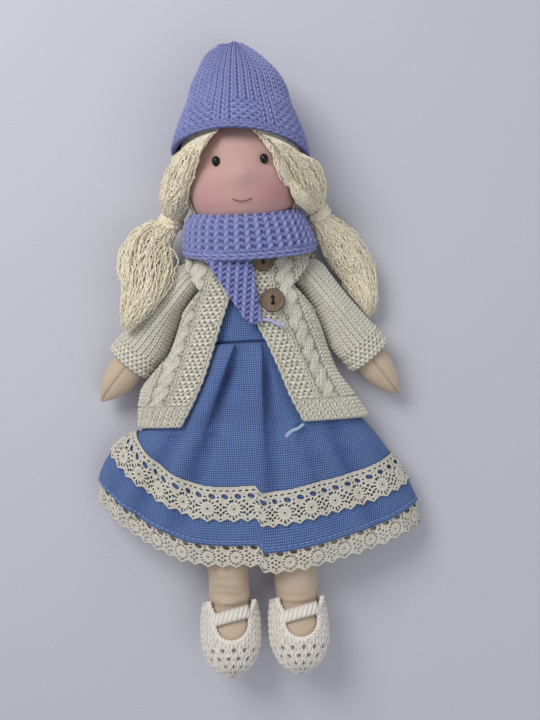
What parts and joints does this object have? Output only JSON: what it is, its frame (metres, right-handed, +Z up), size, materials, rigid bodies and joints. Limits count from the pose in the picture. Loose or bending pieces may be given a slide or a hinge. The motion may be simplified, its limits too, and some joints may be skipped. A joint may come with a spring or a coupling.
{
  "type": "waldorf doll",
  "caption": "Soft cloth doll with yarn pigtails, knitted cone hat and scarf, cable cardigan, lace-trimmed dress and crocheted shoes, lying on its back.",
  "frame": {"origin": "middle of the underside of the lying doll, on the surface that it lies on", "axes": "+Z up, away from the doll's back; +Y from the feet to the head; +X to the doll's own left"},
  "size_m": [0.1724, 0.3334, 0.066],
  "materials": {
    "skin_cloth": "cotton stockinette, matt",
    "face_cloth": "cotton stockinette, matt, with blush",
    "wool_filling": "carded wool",
    "hair_yarn": "crinkled yarn",
    "blue_knit": "hand-knitted wool",
    "cream_knit": "hand-knitted wool",
    "blue_cotton": "waffle-weave cotton",
    "cotton_lace": "cotton lace",
    "white_cotton": "plain cotton",
    "shoe_cotton": "crocheted cotton",
    "wood": "dark stained, worn",
    "black_bead": "glossy bead",
    "red_thread": "embroidery thread",
    "dark_thread": "sewing thread",
    "blue_yarn": "wool yarn",
    "cream_yarn": "wool yarn"
  },
  "bodies": {
    "torso": {"head_skin": "face_cloth", "head_wool": "wool_filling", "right_eye": "black_bead", "left_eye": "black_bead", "mouth_stitch": "red_thread", "torso_skin": "skin_cloth", "torso_wool": "wool_filling", "bodice": "blue_cotton", "skirt": "blue_cotton", "skirt_lace": "cotton_lace", "petticoat_lace": "cotton_lace", "petticoat": "white_cotton", "cardigan_back": "cream_knit", "cardigan_right_front": "cream_knit", "cardigan_left_front": "cream_knit", "lower_button": "wood", "lower_button_thread": "dark_thread", "upper_button": "wood", "upper_button_thread": "dark_thread", "scarf": "blue_knit", "scarf_yarn_end": "blue_yarn", "cardigan_yarn_end": "cream_yarn", "hair_cap": "hair_yarn", "right_hair": "hair_yarn", "right_pigtail": "hair_yarn", "right_hair_tie": "hair_yarn", "left_hair": "hair_yarn", "left_pigtail": "hair_yarn", "left_hair_tie": "hair_yarn"},
    "right_arm": {"right_sleeve": "cream_knit", "right_arm_skin": "skin_cloth", "right_arm_wool": "wool_filling"},
    "left_arm": {"left_sleeve": "cream_knit", "left_arm_skin": "skin_cloth", "left_arm_wool": "wool_filling"},
    "left_leg": {"left_leg_skin": "skin_cloth", "left_leg_wool": "wool_filling"},
    "right_leg": {"right_leg_skin": "skin_cloth", "right_leg_wool": "wool_filling"},
    "right_shoe": {"right_shoe": "shoe_cotton", "right_shoe_strap": "shoe_cotton"},
    "left_shoe": {"left_shoe": "shoe_cotton", "left_shoe_strap": "shoe_cotton"},
    "hat": {"hat": "blue_knit"}
  },
  "joints": [
    {"name": "right_arm_swing", "type": "hinge", "parent": "torso", "child": "right_arm", "pos_m": [-0.03014, 0.04173, 0.0195], "axis": [-0.7431, 0.6691, 0], "range_deg": [0, 60], "deforming": ["right_pigtail"]},
    {"name": "left_arm_swing", "type": "hinge", "parent": "torso", "child": "left_arm", "pos_m": [0.03186, 0.04173, 0.0195], "axis": [-0.7986, -0.6018, 0], "range_deg": [0, 60]},
    {"name": "left_leg_swing", "type": "hinge", "parent": "torso", "child": "left_leg", "pos_m": [0.01786, -0.04527, 0.0163], "axis": [-1, 0, 0], "range_deg": [0, 75], "deforming": ["skirt", "skirt_lace", "petticoat", "petticoat_lace"]},
    {"name": "right_leg_swing", "type": "hinge", "parent": "torso", "child": "right_leg", "pos_m": [-0.01814, -0.04527, 0.0163], "axis": [-1, 0, 0], "range_deg": [0, 75]},
    {"name": "hat_lift", "type": "slide", "parent": "torso", "child": "hat", "axis": [0, 1, 0], "range_m": [0, 0.065]},
    {"name": "right_shoe_pull", "type": "slide", "parent": "right_leg", "child": "right_shoe", "axis": [0, -0.9397, 0.342], "range_m": [0, 0.045]},
    {"name": "left_shoe_pull", "type": "slide", "parent": "left_leg", "child": "left_shoe", "axis": [0, -0.9397, 0.342], "range_m": [0, 0.045]}
  ],
  "couplings": [
    {"joint": "right_leg_swing", "follows": "left_leg_swing", "ratio": 1}
  ]
}
